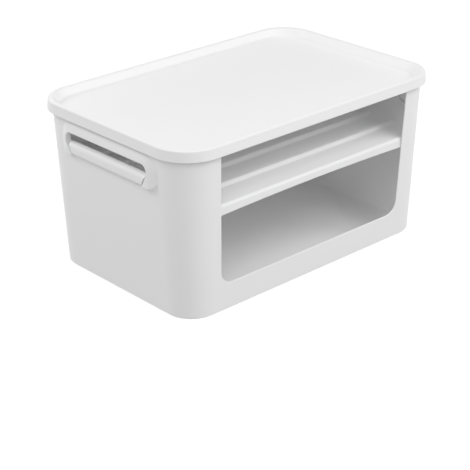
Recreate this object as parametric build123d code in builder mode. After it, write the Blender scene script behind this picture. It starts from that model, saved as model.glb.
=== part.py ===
"""Open-front storage container with a lid and a hook-in shelf, in millimetres.

Three injection-moulded pieces: the tub, the lid that drops over its rim, and a
ribbed shelf whose ends curl up and hook out through the two hand slots.
X runs along the long side, the open front faces -Y, and Z is up.
The origin is at the middle of the base, on the surface it stands on.
"""

import math
import os

from build123d import *

# Tub: outline at the base, height to the rim, and the outward lean of its walls
base_length = 549.5
base_width = 350.0
base_corner_radius = 50.0
tub_height = 294.8
wall_lean = 0.046  # outward travel of each wall for each millimetre of height
tub_wall = 2.5
floor_thickness = 3.0
base_edge_chamfer = 2.5
floor_edge_chamfer = 5.0
foot_ring_width = 14.0
foot_ring_height = 1.5
rim_flange_reach = 2.0
rim_flange_height = 4.0

# Front opening: a U cut down from the rim, with a sill and two corner posts
sill_height = 48.5
post_width = 69.8
opening_flare = 0.0275
opening_corner_radius = 24.0
opening_edge_chamfer = 0.8

# Hand slots in the end walls, each framed by a raised collar
slot_drop = 36.3
slot_height = 18.5
slot_length = 207.0
slot_corner_radius = 12.0
collar_rail = 3.0
collar_foot = 22.0
collar_flare = 15.0  # how far its top and ends spread between its face and the wall
collar_corner_radius = 15.0
collar_foot_corner_radius = 18.0
collar_edge_radius = 6.0
collar_foot_chamfer = 2.0
collar_setback = 1.2

# Lid: a skirt over the rim, a crest all round and a recess that takes another tub
lid_wall = 2.2
lid_height = 18.0
lid_overhang = 7.4
lid_lean = 0.105
lid_corner_tightness = 3.5  # how much smaller its corners are than the tub's, offset alike
recess_depth = 14.0
recess_lean = 8.0
stacking_clearance = 1.1
lid_edge_radius = 2.6
crest_edge_chamfer = 1.5
recess_foot_radius = 6.0
underside_chamfer = 4.0
seat_gap = 0.3

# Shelf: a tread with rounded beads, a lip front and back, and curled-up ends
shelf_wall = 2.5
shelf_clearance = 1.8
lip_clearance = 0.6
tread_drop = 50.0
end_radius = 35.0
bead_pitch = 60.0
bead_pairs = 2
bead_top = 8.0
bead_flank = 4.5
bead_height = 5.5
bead_top_radius = 3.5
bead_foot_radius = 2.0
lip_edge_radius = 5.0
lip_drop = 18.0
lip_arch = 4.0
lip_length = 444.0
shelf_corner_easing = 4.0  # how much rounder its corners are than the tub's inside

# Shelf hooks: the tongue of each end goes out over the slot's lower edge
hook_length = 198.0
hook_drop = 20.5
hook_side_lean = 11.0
hook_gap = 3.0
hook_radius = 8.0
hook_toe_radius = 6.0
hook_neck_radius = 4.0
hook_toe_gap = 1.5
shoulder_drop = 9.0
shoulder_radius = 35.0
shoulder_slope = 50.0
shoulder_foot_height = 2.0  # how far the end plate's low corners stand above the tread

# Overshoot of a cut past the face that it goes through
cut_margin = 1.0

# Heights worked out from the rim downwards
ceiling_height = tub_height + seat_gap
lid_top = ceiling_height + lid_wall
skirt_bottom = lid_top - lid_height
panel_top = lid_top - recess_depth
panel_underside = panel_top - lid_wall
slot_top = tub_height - slot_drop
hook_top = slot_top - slot_height
saddle_height = hook_top - shelf_wall - seat_gap
hook_bottom = hook_top - hook_drop
tread_height = hook_top - tread_drop

# Draft angles, and the recess wall's thickness measured flat, as its side leans
wall_draft = math.degrees(math.atan(wall_lean))
lid_draft = math.degrees(math.atan(lid_lean))
recess_draft = math.degrees(math.atan(recess_lean / recess_depth))
side_thickness = lid_wall / math.cos(math.radians(recess_draft))


def tub_half_length(height):
    """Half length of the tub's outside at one height."""
    return base_length / 2 + height * wall_lean


def tub_half_width(height):
    """Half width of the tub's outside at one height."""
    return base_width / 2 + height * wall_lean


def tub_corner(height):
    """Corner radius of the tub's outside at one height, as its draft is the same all round."""
    return base_corner_radius + height * wall_lean


def rounded_outline(height, half_length, half_width, radius):
    """A rounded rectangle lying at one height."""
    with BuildSketch(Plane.XY.offset(height)) as outline:
        RectangleRounded(2 * half_length, 2 * half_width, radius)
    return outline.sketch


def tub_outline(height, inset):
    """The tub's outline at one height, drawn in from its outer face."""
    half_length = tub_half_length(height) - inset
    half_width = tub_half_width(height) - inset
    return rounded_outline(height, half_length, half_width, tub_corner(height) - inset)


def lid_outline(inset):
    """The outline of the skirt's lower edge, drawn in from its outer face."""
    growth = lid_overhang - inset
    half_length = tub_half_length(skirt_bottom) + growth
    half_width = tub_half_width(skirt_bottom) + growth
    radius = tub_corner(skirt_bottom) + growth - lid_corner_tightness
    return rounded_outline(skirt_bottom, half_length, half_width, radius)


def recess_outline(height, thickness):
    """The lid recess at one height, or the outside of its wall."""
    rise = height - panel_top
    growth = stacking_clearance + recess_lean * rise / recess_depth + thickness
    half_length = base_length / 2 + growth
    half_width = base_width / 2 + growth
    return rounded_outline(height, half_length, half_width, base_corner_radius + growth)


# Outer face of the collars and hooks, just inside the lid's edge
collar_face = tub_half_length(skirt_bottom) + lid_overhang - collar_setback
collar_root = tub_half_length(hook_bottom) - tub_wall
collar_bottom = hook_top - collar_foot
collar_top = slot_top + collar_rail
collar_half_length = slot_length / 2 + collar_rail


def hook_half_length(height):
    """Half length of the hook at one height, as its ends lean outwards."""
    return hook_length / 2 - hook_side_lean * (hook_top - height) / hook_drop


def hook_notch(bottom, top):
    """The trapezoid that a hook needs in the end wall, seen along X."""
    low = hook_half_length(bottom) + hook_gap
    high = hook_half_length(top) + hook_gap
    with BuildSketch(Plane.YZ) as notch:
        with BuildLine():
            Polyline((-low, bottom), (low, bottom), (high, top), (-high, top), close=True)
        make_face()
    return notch.sketch


# One collar: a frame that flares back to the wall, with a gap in its lower rail for the hook
with BuildPart() as collar:
    collar_depth = collar_face - collar_root
    collar_draft = math.atan(collar_flare / (collar_face - tub_half_length(collar_top)))
    spread = collar_depth * math.tan(collar_draft)
    face_bottom = collar_bottom - collar_flare
    with BuildSketch(Plane.YZ.offset(collar_root)):
        with Locations((0, (collar_top + face_bottom) / 2)):
            RectangleRounded(
                2 * (collar_half_length + spread),
                collar_top - face_bottom + 2 * spread,
                collar_corner_radius + spread,
            )
    extrude(amount=collar_depth, taper=math.degrees(collar_draft))
    fillet(collar.faces().sort_by(Axis.X)[-1].edges(), collar_edge_radius)
    # Its foot doesn't flare, but is cut short with rounded corners
    with BuildSketch(Plane.YZ) as front_view:
        with Locations((0, (collar_top + spread + collar_bottom) / 2)):
            Rectangle(2 * (collar_half_length + collar_flare), collar_top + spread - collar_bottom)
        fillet(front_view.vertices().group_by(Axis.Y)[0], collar_foot_corner_radius)
    extrude(front_view.sketch, amount=collar_face, mode=Mode.INTERSECT)
    foot = collar.edges().filter_by_position(
        Axis.Z, collar_bottom, collar_bottom + collar_foot_corner_radius - cut_margin
    )
    chamfer(foot.filter_by_position(Axis.X, collar_root + cut_margin, collar_face), collar_foot_chamfer)
    extrude(hook_notch(collar_bottom - cut_margin, hook_top), amount=2 * collar_face, mode=Mode.SUBTRACT)


# The room inside the tub, bevelled where the walls meet the floor
with BuildPart() as cavity:
    extrude(tub_outline(floor_thickness, tub_wall), amount=tub_height, taper=-wall_draft)
    chamfer(cavity.faces().sort_by(Axis.Z)[0].edges(), floor_edge_chamfer)


# Tub: drafted shell with collars, hand slots, rim flange, open front and foot ring
with BuildPart() as container:
    extrude(tub_outline(0, 0), amount=tub_height, taper=-wall_draft)
    chamfer(container.faces().sort_by(Axis.Z)[0].edges(), base_edge_chamfer)
    flange_outline = tub_outline(tub_height - rim_flange_height, -rim_flange_reach)
    extrude(flange_outline, amount=rim_flange_height, taper=-wall_draft)
    add(collar.part)
    add(mirror(collar.part, about=Plane.YZ, mode=Mode.PRIVATE))
    add(cavity.part, mode=Mode.SUBTRACT)
    # Finger window, and the saddle below it that carries the shelf's hook
    with BuildSketch(Plane.YZ) as window:
        with Locations((0, (slot_top + hook_top) / 2)):
            Rectangle(slot_length, slot_top - hook_top)
        fillet(window.vertices().group_by(Axis.Y)[-1], slot_corner_radius)
    extrude(window.sketch, amount=2 * collar_face, both=True, mode=Mode.SUBTRACT)
    extrude(hook_notch(saddle_height, hook_top), amount=2 * collar_face, both=True, mode=Mode.SUBTRACT)
    # Open front, from the sill up through the rim
    with BuildSketch(Plane.XZ) as opening:
        sill_half = base_length / 2 - post_width + sill_height * opening_flare
        rim_half = base_length / 2 - post_width + (tub_height + cut_margin) * opening_flare
        with BuildLine():
            Polyline(
                (-sill_half, sill_height), (sill_half, sill_height),
                (rim_half, tub_height + cut_margin), (-rim_half, tub_height + cut_margin), close=True,
            )
        make_face()
        fillet(opening.vertices().group_by(Axis.Y)[0], opening_corner_radius)
    extrude(opening.sketch, amount=base_width, mode=Mode.SUBTRACT)
    chamfer(container.edges(Select.NEW), opening_edge_chamfer)
    # Recessed underside, which leaves a ring to stand on
    with BuildSketch() as foot:
        RectangleRounded(
            base_length - 2 * foot_ring_width,
            base_width - 2 * foot_ring_width,
            base_corner_radius - foot_ring_width,
        )
    extrude(foot.sketch, amount=foot_ring_height, mode=Mode.SUBTRACT)
container.part.label = "container"


# The room in the lid's recess, rounded where its side meets the panel
with BuildPart() as recess_room:
    extrude(recess_outline(panel_top, 0), amount=recess_depth, taper=-recess_draft)
    fillet(recess_room.faces().sort_by(Axis.Z)[0].edges(), recess_foot_radius)


# The outside of the recess, one wall thicker all round
with BuildPart() as recess_wall:
    outside = recess_outline(panel_underside, side_thickness)
    extrude(outside, amount=recess_depth + lid_wall, taper=-recess_draft)
    chamfer(recess_wall.faces().sort_by(Axis.Z)[0].edges(), underside_chamfer)


# Lid: skirt and crest over the rim, with the recess hanging inside it
with BuildPart() as lid:
    extrude(lid_outline(0), amount=lid_height, taper=lid_draft)
    fillet(lid.faces().sort_by(Axis.Z)[-1].edges(), lid_edge_radius)
    inside_height = ceiling_height - skirt_bottom
    extrude(lid_outline(lid_wall), amount=inside_height, taper=lid_draft, mode=Mode.SUBTRACT)
    add(recess_wall.part)
    add(recess_room.part, mode=Mode.SUBTRACT)
    crest = lid.faces().filter_by(Axis.Z).sort_by(Axis.Z)[-1]
    chamfer(crest.inner_wires().edges(), crest_edge_chamfer)
lid.part.label = "lid"


def shelf_inner_face(height):
    """X of the inner face of the shelf's end plate at one height."""
    return tub_half_length(height) - tub_wall - shelf_clearance - shelf_wall


def bead_points(middle):
    """The four corners of one bead across the tread."""
    foot = bead_top / 2 + bead_flank
    crest = tread_height + bead_height
    return [
        (middle - foot, tread_height), (middle - bead_top / 2, crest),
        (middle + bead_top / 2, crest), (middle + foot, tread_height),
    ]


# Shelf, from two thin profiles: one across the tread and one through each end
lip_bottom = tread_height - lip_drop
shelf_height = hook_top - lip_bottom
lip_face = tub_half_width(lip_bottom) - tub_wall - lip_clearance


def tread_outline():
    """Points along the top of the tread from lip to lip, and how round each corner is."""
    points = [(-lip_face, lip_bottom), (-lip_face, tread_height)]
    radii = [lip_edge_radius]
    for step in range(-bead_pairs, bead_pairs + 1):
        points += bead_points(step * bead_pitch)
        radii += [bead_foot_radius, bead_top_radius, bead_top_radius, bead_foot_radius]
    points += [(lip_face, tread_height), (lip_face, lip_bottom)]
    radii.append(lip_edge_radius)
    return points, radii


# The tread runs into the curled ends as far as the beads stand out of them
curl_start = shelf_inner_face(tread_height) - end_radius
bead_run_out = math.sqrt(end_radius**2 - (end_radius - bead_height) ** 2)
tread_reach = curl_start + bead_run_out

with BuildPart() as shelf_end:
    with BuildSketch(Plane.XZ):
        with BuildLine():
            FilletPolyline(
                (curl_start - cut_margin, tread_height),
                (shelf_inner_face(tread_height), tread_height),
                (shelf_inner_face(hook_top), hook_top),
                (collar_face, hook_top),
                (collar_face, hook_bottom),
                (tub_half_length(hook_bottom) + hook_toe_gap, hook_bottom),
                radius=[end_radius, hook_neck_radius, hook_radius, hook_toe_radius],
            )
            offset(amount=shelf_wall, side=Side.RIGHT)
        make_face()
    extrude(amount=lip_face, both=True)
    # Shoulders: the end plate falls away to the tread in front of and behind the hook
    shoulder_foot = tread_height + shoulder_foot_height
    plate_edge = lip_face + cut_margin
    with BuildSketch(Plane.YZ) as side_view:
        with BuildLine():
            brow = (hook_length / 2, hook_top - shoulder_drop)
            shoulder = JernArc(brow, (1, 0), shoulder_radius, -shoulder_slope)
            slope_run = ((shoulder @ 1).Y - shoulder_foot) / math.tan(math.radians(shoulder_slope))
            slope_end = ((shoulder @ 1).X + slope_run, shoulder_foot)
            Polyline(
                shoulder @ 1, slope_end, (plate_edge, shoulder_foot), (plate_edge, lip_bottom),
                (0, lip_bottom), (0, hook_top + cut_margin), (brow[0], hook_top + cut_margin), brow,
            )
        make_face()
        mirror(about=Plane.YZ)
    extrude(side_view.sketch, amount=2 * collar_face, mode=Mode.INTERSECT)
    # Outside the wall only the hook is left, with its leaning ends
    middle_of_wall = tub_half_length(saddle_height) - tub_wall / 2
    with BuildSketch(Plane.YZ.offset(middle_of_wall)) as trimmings:
        Rectangle(4 * lip_face, 4 * hook_top)
        below = hook_bottom - cut_margin
        above = hook_top + cut_margin
        low = hook_half_length(below)
        high = hook_length / 2
        with BuildLine():
            Polyline((-low, below), (low, below), (high, above), (-high, above), close=True)
        make_face(mode=Mode.SUBTRACT)
    extrude(trimmings.sketch, amount=collar_face, mode=Mode.SUBTRACT)

# The room that the shelf has inside the tub, and its hooks' way out of the slots
with BuildPart() as shelf_room:
    room_bottom = lip_bottom - cut_margin
    room_height = shelf_height + 2 * cut_margin
    footprint = rounded_outline(
        room_bottom,
        tub_half_length(room_bottom) - tub_wall - shelf_clearance / 2,
        tub_half_width(room_bottom) - tub_wall - lip_clearance / 2,
        tub_corner(room_bottom) - tub_wall + shelf_corner_easing,
    )
    extrude(footprint, amount=room_height, taper=-wall_draft)
    with BuildSketch(Plane.XY.offset(room_bottom)) as hook_ways:
        Rectangle(2 * (collar_face + cut_margin), hook_length + 2 * cut_margin)
    extrude(hook_ways.sketch, amount=room_height)

with BuildPart() as shelf:
    tread_points, tread_radii = tread_outline()
    with BuildSketch(Plane.YZ):
        with BuildLine():
            FilletPolyline(*tread_points, radius=tread_radii)
            offset(amount=shelf_wall, side=Side.RIGHT)
        make_face()
    extrude(amount=tread_reach, both=True)
    # Nothing of the tread is left below the curled ends
    with BuildSketch(Plane.XZ) as below_curl:
        outer_radius = end_radius + shelf_wall
        with BuildLine():
            arc = CenterArc((curl_start, tread_height + end_radius), outer_radius, -90, 90)
            Polyline(
                arc @ 1, (2 * collar_face, (arc @ 1).Y), (2 * collar_face, 0),
                ((arc @ 0).X, 0), arc @ 0,
            )
        make_face()
        mirror(about=Plane.YZ)
    extrude(below_curl.sketch, amount=plate_edge, both=True, mode=Mode.SUBTRACT)
    # The lips end behind the corner posts, and their lower edge is gently arched
    with BuildSketch(Plane.XZ) as lip_trim:
        with BuildLine():
            half = lip_length / 2
            underside = tread_height - shelf_wall
            ThreePointArc((-half, lip_bottom), (0, lip_bottom + lip_arch), (half, lip_bottom))
            Polyline(
                (half, lip_bottom), (half, underside), (collar_face, underside), (collar_face, 0),
                (-collar_face, 0), (-collar_face, underside), (-half, underside), (-half, lip_bottom),
            )
        make_face()
    extrude(lip_trim.sketch, amount=plate_edge, both=True, mode=Mode.SUBTRACT)
    add(shelf_end.part)
    add(mirror(shelf_end.part, about=Plane.YZ, mode=Mode.PRIVATE))
    add(shelf_room.part, mode=Mode.INTERSECT)
shelf.part.label = "shelf"


os.makedirs("parts", exist_ok=True)
export_step(container.part, "parts/container.step")
export_step(lid.part, "parts/lid.step")
export_step(shelf.part, "parts/shelf.step")
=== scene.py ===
"""An open-front storage container with its lid and hook-in shelf, finished in satin white plastic.

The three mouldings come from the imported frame, in metres: X along the long side, the open
front towards -Y, Z up, and the origin under the middle of the base. This file gives each of
them its plastic and sets the studio that it is seen in.
"""

import math

import bpy
from bpy.props import (
    FloatProperty,
    FloatVectorProperty,
    PointerProperty,
)
from bpy.types import Operator, Panel, PropertyGroup
from mathutils import Euler, Matrix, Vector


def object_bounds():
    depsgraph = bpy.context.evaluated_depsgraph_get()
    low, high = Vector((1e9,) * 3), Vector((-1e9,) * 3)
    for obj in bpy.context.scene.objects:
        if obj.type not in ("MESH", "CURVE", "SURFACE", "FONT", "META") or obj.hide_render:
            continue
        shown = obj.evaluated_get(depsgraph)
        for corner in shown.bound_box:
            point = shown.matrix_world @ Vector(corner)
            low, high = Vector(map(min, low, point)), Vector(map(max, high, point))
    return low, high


bl_info = {
    "name": "Open-Front Storage Container",
    "version": (1, 0, 0),
    "blender": (4, 5, 0),
    "location": "View3D > Sidebar > Container",
    "description": "Finishes a lidded storage container with its shelf and sets its studio",
    "category": "Object",
}

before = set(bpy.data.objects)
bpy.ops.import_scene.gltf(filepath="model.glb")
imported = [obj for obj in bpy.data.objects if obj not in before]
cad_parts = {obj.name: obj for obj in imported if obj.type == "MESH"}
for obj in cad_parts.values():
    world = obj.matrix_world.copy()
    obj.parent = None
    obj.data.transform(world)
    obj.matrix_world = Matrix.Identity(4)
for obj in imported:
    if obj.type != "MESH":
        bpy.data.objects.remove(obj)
CAD_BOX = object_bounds()

# The plastic's white, how strongly it bends light, and how finely its patterns break up
MOULDED_WHITE = (0.94, 0.94, 0.94)
PLASTIC_IOR = 1.49
FLOW_DETAIL = 3.0
GRAIN_DETAIL = 2.0

# The floor's roughness, the sides of each size of lamp in metres, and the sensor in millimetres
FLOOR_ROUGHNESS = 0.9
SMALL_LAMP = (1.2, 1.2)
MEDIUM_LAMP = (1.6, 1.2)
LARGE_LAMP = (2.0, 1.2)
SENSOR_WIDTH = 36.0


class PlasticSettings(PropertyGroup):
    """The satin white plastic that all three mouldings are made of."""

    tub_colour: FloatVectorProperty(
        name="Tub Colour",
        description="Colour of the tub's plastic",
        subtype="COLOR",
        size=3,
        min=0.0,
        max=1.0,
        default=MOULDED_WHITE,
    )
    lid_colour: FloatVectorProperty(
        name="Lid Colour",
        description="Colour of the lid's plastic",
        subtype="COLOR",
        size=3,
        min=0.0,
        max=1.0,
        default=MOULDED_WHITE,
    )
    shelf_colour: FloatVectorProperty(
        name="Shelf Colour",
        description="Colour of the shelf's plastic",
        subtype="COLOR",
        size=3,
        min=0.0,
        max=1.0,
        default=MOULDED_WHITE,
    )
    gloss_roughness: FloatProperty(
        name="Roughness",
        description="How soft the reflections of the moulded skin are",
        subtype="FACTOR",
        min=0.0,
        max=1.0,
        default=0.42,
    )
    grain_size: FloatProperty(
        name="Grain Size",
        description="Width of one grain of the fine texture that the mould leaves",
        subtype="DISTANCE",
        unit="LENGTH",
        min=0.0001,
        default=0.0009,
    )
    grain_depth: FloatProperty(
        name="Grain Depth",
        description="Height of the grain",
        subtype="DISTANCE",
        unit="LENGTH",
        min=0.0,
        default=0.00003,
    )
    flow_size: FloatProperty(
        name="Flow Mark Size",
        description="Width of the faint cloudy patches where the plastic flowed",
        subtype="DISTANCE",
        unit="LENGTH",
        min=0.001,
        default=0.09,
    )
    flow_contrast: FloatProperty(
        name="Flow Mark Contrast",
        description="How much darker a cloudy patch is than the rest",
        subtype="FACTOR",
        min=0.0,
        max=1.0,
        default=0.015,
    )
    milkiness: FloatProperty(
        name="Milkiness",
        description="Share of the light that goes into the plastic before it comes back",
        subtype="FACTOR",
        min=0.0,
        max=1.0,
        default=0.25,
    )
    glow_depth: FloatProperty(
        name="Glow Depth",
        description="How far light travels inside the milky plastic",
        subtype="DISTANCE",
        unit="LENGTH",
        min=0.0,
        default=0.003,
    )


class StudioSettings(PropertyGroup):
    """The floor, the lights and the camera of the photo's viewpoint."""

    floor_size: FloatProperty(
        name="Floor Size",
        description="Length of each side of the floor",
        subtype="DISTANCE",
        unit="LENGTH",
        default=40.0,
    )
    floor_colour: FloatVectorProperty(
        name="Floor Colour",
        description="Colour of the floor",
        subtype="COLOR",
        size=3,
        min=0.0,
        max=1.0,
        default=(0.95, 0.95, 0.95),
    )
    floor_glow: FloatProperty(
        name="Floor Glow",
        description="How brightly the floor shines by itself",
        min=0.0,
        default=0.45,
    )
    room_light: FloatProperty(
        name="Room Light",
        description="Brightness of the soft light that comes from all round",
        min=0.0,
        default=0.336,
    )
    top_front_power: FloatProperty(
        name="Top Front Lamp",
        description="Power of the lamp high above the open front",
        subtype="POWER",
        unit="POWER",
        default=11.1,
    )
    front_power: FloatProperty(
        name="Front Lamp",
        description="Power of the lamp that shines in through the open front",
        subtype="POWER",
        unit="POWER",
        default=15.0,
    )
    right_front_power: FloatProperty(
        name="Right Front Lamp",
        description="Power of the lamp high to the front right",
        subtype="POWER",
        unit="POWER",
        default=16.5,
    )
    left_back_power: FloatProperty(
        name="Left Back Lamp",
        description="Power of the lamp high to the back left, the main light on the left end",
        subtype="POWER",
        unit="POWER",
        default=26.0,
    )
    left_front_power: FloatProperty(
        name="Left Front Lamp",
        description="Power of the lamp high to the front left, on the camera's side",
        subtype="POWER",
        unit="POWER",
        default=13.3,
    )
    back_power: FloatProperty(
        name="Back Lamp",
        description="Power of the lamp behind the box",
        subtype="POWER",
        unit="POWER",
        default=12.5,
    )
    tone_gamma: FloatProperty(
        name="Tone Gamma",
        description="How far the finished picture's shadows are lifted",
        min=0.1,
        default=1.35,
    )
    camera_place: FloatVectorProperty(
        name="Camera Place",
        description="Where the camera stands",
        subtype="TRANSLATION",
        unit="LENGTH",
        size=3,
        default=(-1.5602, -1.7029, 1.1027),
    )
    camera_heading: FloatProperty(
        name="Camera Heading",
        description="Turn of the camera about the vertical, from straight at the front",
        subtype="ANGLE",
        unit="ROTATION",
        default=math.radians(-42.20),
    )
    camera_dip: FloatProperty(
        name="Camera Dip",
        description="How far the camera looks below the horizon",
        subtype="ANGLE",
        unit="ROTATION",
        default=math.radians(25.314),
    )
    camera_roll: FloatProperty(
        name="Camera Roll",
        description="Tilt of the camera about its own line of sight",
        subtype="ANGLE",
        unit="ROTATION",
        default=math.radians(-0.57),
    )
    camera_focal_length: FloatProperty(
        name="Focal Length",
        description="Focal length on a 36 mm wide sensor",
        subtype="DISTANCE_CAMERA",
        unit="CAMERA",
        default=109.9,
    )


def deselect_all():
    """Leaves nothing selected, so that an operator acts on its own piece alone."""
    bpy.ops.object.select_all(action="DESELECT")


def add_node(nodes, kind, place):
    """Adds one shader node at its place in the node editor."""
    node = nodes.new(kind)
    node.location = place
    return node


def milky_plastic(name, colour, settings):
    """White moulded plastic: a fine grain, faint cloudy flow marks and a slight inner glow."""
    material = bpy.data.materials.new(name)
    material.use_nodes = True
    nodes = material.node_tree.nodes
    links = material.node_tree.links
    shader = nodes["Principled BSDF"]
    shader.inputs["Roughness"].default_value = settings.gloss_roughness
    shader.inputs["IOR"].default_value = PLASTIC_IOR
    shader.inputs["Subsurface Weight"].default_value = settings.milkiness
    shader.inputs["Subsurface Radius"].default_value = (1.0, 1.0, 1.0)
    shader.inputs["Subsurface Scale"].default_value = settings.glow_depth

    position = add_node(nodes, "ShaderNodeTexCoord", (-1200, 0))

    clouds = add_node(nodes, "ShaderNodeTexNoise", (-900, 250))
    clouds.inputs["Scale"].default_value = 1.0 / settings.flow_size
    clouds.inputs["Detail"].default_value = FLOW_DETAIL
    links.new(position.outputs["Object"], clouds.inputs["Vector"])
    tint = add_node(nodes, "ShaderNodeMix", (-400, 250))
    tint.data_type = "RGBA"
    cloudy = [part * (1.0 - settings.flow_contrast) for part in colour]
    tint.inputs["A"].default_value = (*cloudy, 1.0)
    tint.inputs["B"].default_value = (*colour, 1.0)
    links.new(clouds.outputs["Fac"], tint.inputs["Factor"])
    links.new(tint.outputs["Result"], shader.inputs["Base Color"])

    grain = add_node(nodes, "ShaderNodeTexNoise", (-900, -150))
    grain.inputs["Scale"].default_value = 1.0 / settings.grain_size
    grain.inputs["Detail"].default_value = GRAIN_DETAIL
    links.new(position.outputs["Object"], grain.inputs["Vector"])
    bump = add_node(nodes, "ShaderNodeBump", (-400, -150))
    bump.inputs["Strength"].default_value = 1.0
    bump.inputs["Distance"].default_value = settings.grain_depth
    links.new(grain.outputs["Fac"], bump.inputs["Height"])
    links.new(bump.outputs["Normal"], shader.inputs["Normal"])
    return material


def finish_moulding(node, material):
    """Gives a moulding from the frame its plastic."""
    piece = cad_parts[node]
    piece.data.materials.clear()
    piece.data.materials.append(material)


class CONTAINER_OT_finish_tub(Operator):
    """Gives the tub its plastic"""

    bl_idname = "container.finish_tub"
    bl_label = "Finish Tub"

    def execute(self, context):
        plastic = context.scene.container_plastic
        finish_moulding("container", milky_plastic("tub_plastic", plastic.tub_colour, plastic))
        return {"FINISHED"}


class CONTAINER_OT_finish_lid(Operator):
    """Gives the lid its plastic"""

    bl_idname = "container.finish_lid"
    bl_label = "Finish Lid"

    def execute(self, context):
        plastic = context.scene.container_plastic
        finish_moulding("lid", milky_plastic("lid_plastic", plastic.lid_colour, plastic))
        return {"FINISHED"}


class CONTAINER_OT_finish_shelf(Operator):
    """Gives the shelf its plastic"""

    bl_idname = "container.finish_shelf"
    bl_label = "Finish Shelf"

    def execute(self, context):
        plastic = context.scene.container_plastic
        finish_moulding("shelf", milky_plastic("shelf_plastic", plastic.shelf_colour, plastic))
        return {"FINISHED"}


def build_floor(studio):
    """A plain pale floor under the box."""
    deselect_all()
    bpy.ops.mesh.primitive_plane_add(size=studio.floor_size, location=(0, 0, 0))
    floor = bpy.context.active_object
    floor.name = "floor"
    material = bpy.data.materials.new("floor_paper")
    material.use_nodes = True
    shader = material.node_tree.nodes["Principled BSDF"]
    shader.inputs["Base Color"].default_value = (*studio.floor_colour, 1.0)
    shader.inputs["Roughness"].default_value = FLOOR_ROUGHNESS
    shader.inputs["Emission Color"].default_value = (1.0, 1.0, 1.0, 1.0)
    shader.inputs["Emission Strength"].default_value = studio.floor_glow
    floor.data.materials.append(material)
    # The photo shows hardly any light from below, so the floor throws none back at the box
    floor.visible_diffuse = False


def add_lamp(name, place, size, power):
    """One soft rectangular lamp that points at the middle of the box."""
    deselect_all()
    bpy.ops.object.light_add(type="AREA", location=place)
    lamp = bpy.context.active_object
    lamp.name = name
    lamp.data.shape = "RECTANGLE"
    lamp.data.size, lamp.data.size_y = size
    lamp.data.energy = power
    middle = (CAD_BOX[0] + CAD_BOX[1]) / 2
    lamp.rotation_euler = (middle - lamp.location).to_track_quat("-Z", "Y").to_euler()


def build_lights(studio):
    """Soft even light from all round, and six soft lamps above the box."""
    world = bpy.data.worlds.new("studio_room")
    world.use_nodes = True
    background = world.node_tree.nodes["Background"]
    background.inputs["Color"].default_value = (1.0, 1.0, 1.0, 1.0)
    background.inputs["Strength"].default_value = studio.room_light
    bpy.context.scene.world = world
    add_lamp("lamp_top_front", place=(0.5, -1.6, 2.3), size=MEDIUM_LAMP, power=studio.top_front_power)
    add_lamp("lamp_front", place=(0.2, -2.5, 1.9), size=SMALL_LAMP, power=studio.front_power)
    add_lamp("lamp_right_front", place=(1.7, -1.8, 2.0), size=SMALL_LAMP, power=studio.right_front_power)
    add_lamp("lamp_left_back", place=(-1.7, 1.7, 2.1), size=SMALL_LAMP, power=studio.left_back_power)
    add_lamp("lamp_left_front", place=(-1.9, -1.4, 2.1), size=SMALL_LAMP, power=studio.left_front_power)
    add_lamp("lamp_back", place=(0.5, 3.0, 1.5), size=LARGE_LAMP, power=studio.back_power)


def build_camera(studio):
    """The camera at the photo's viewpoint."""
    deselect_all()
    bpy.ops.object.camera_add(location=studio.camera_place)
    camera = bpy.context.active_object
    camera.name = "photo_camera"
    level = math.radians(90.0)
    heading = Euler((level - studio.camera_dip, 0.0, studio.camera_heading)).to_matrix()
    roll = Matrix.Rotation(studio.camera_roll, 3, "Z")
    camera.rotation_euler = (heading @ roll).to_euler()
    camera.data.sensor_width = SENSOR_WIDTH
    camera.data.lens = studio.camera_focal_length
    bpy.context.scene.camera = camera


class CONTAINER_OT_build_studio(Operator):
    """Sets the floor, the lights and the camera"""

    bl_idname = "container.build_studio"
    bl_label = "Build Studio"

    def execute(self, context):
        studio = context.scene.container_studio
        build_floor(studio)
        build_lights(studio)
        build_camera(studio)
        context.scene.view_settings.view_transform = "Standard"
        context.scene.view_settings.gamma = studio.tone_gamma
        return {"FINISHED"}


class CONTAINER_PT_sidebar(Panel):
    """Lists the settings and the steps in the 3D view's sidebar"""

    bl_idname = "CONTAINER_PT_sidebar"
    bl_label = "Storage Container"
    bl_space_type = "VIEW_3D"
    bl_region_type = "UI"
    bl_category = "Container"

    def draw(self, context):
        layout = self.layout
        for settings in (context.scene.container_plastic, context.scene.container_studio):
            column = layout.column(align=True)
            for name in settings.bl_rna.properties.keys():
                if name not in ("rna_type", "name"):
                    column.prop(settings, name)
        for step in STEPS:
            layout.operator(step.bl_idname)


SETTINGS = (PlasticSettings, StudioSettings)
STEPS = (
    CONTAINER_OT_finish_tub,
    CONTAINER_OT_finish_lid,
    CONTAINER_OT_finish_shelf,
    CONTAINER_OT_build_studio,
)


def register():
    for entry in (*SETTINGS, *STEPS, CONTAINER_PT_sidebar):
        bpy.utils.register_class(entry)
    bpy.types.Scene.container_plastic = PointerProperty(type=PlasticSettings)
    bpy.types.Scene.container_studio = PointerProperty(type=StudioSettings)


def unregister():
    del bpy.types.Scene.container_studio
    del bpy.types.Scene.container_plastic
    for entry in reversed((*SETTINGS, *STEPS, CONTAINER_PT_sidebar)):
        bpy.utils.unregister_class(entry)


def main():
    register()
    bpy.ops.container.finish_tub()
    bpy.ops.container.finish_lid()
    bpy.ops.container.finish_shelf()
    bpy.ops.container.build_studio()


if __name__ == "__main__":
    main()
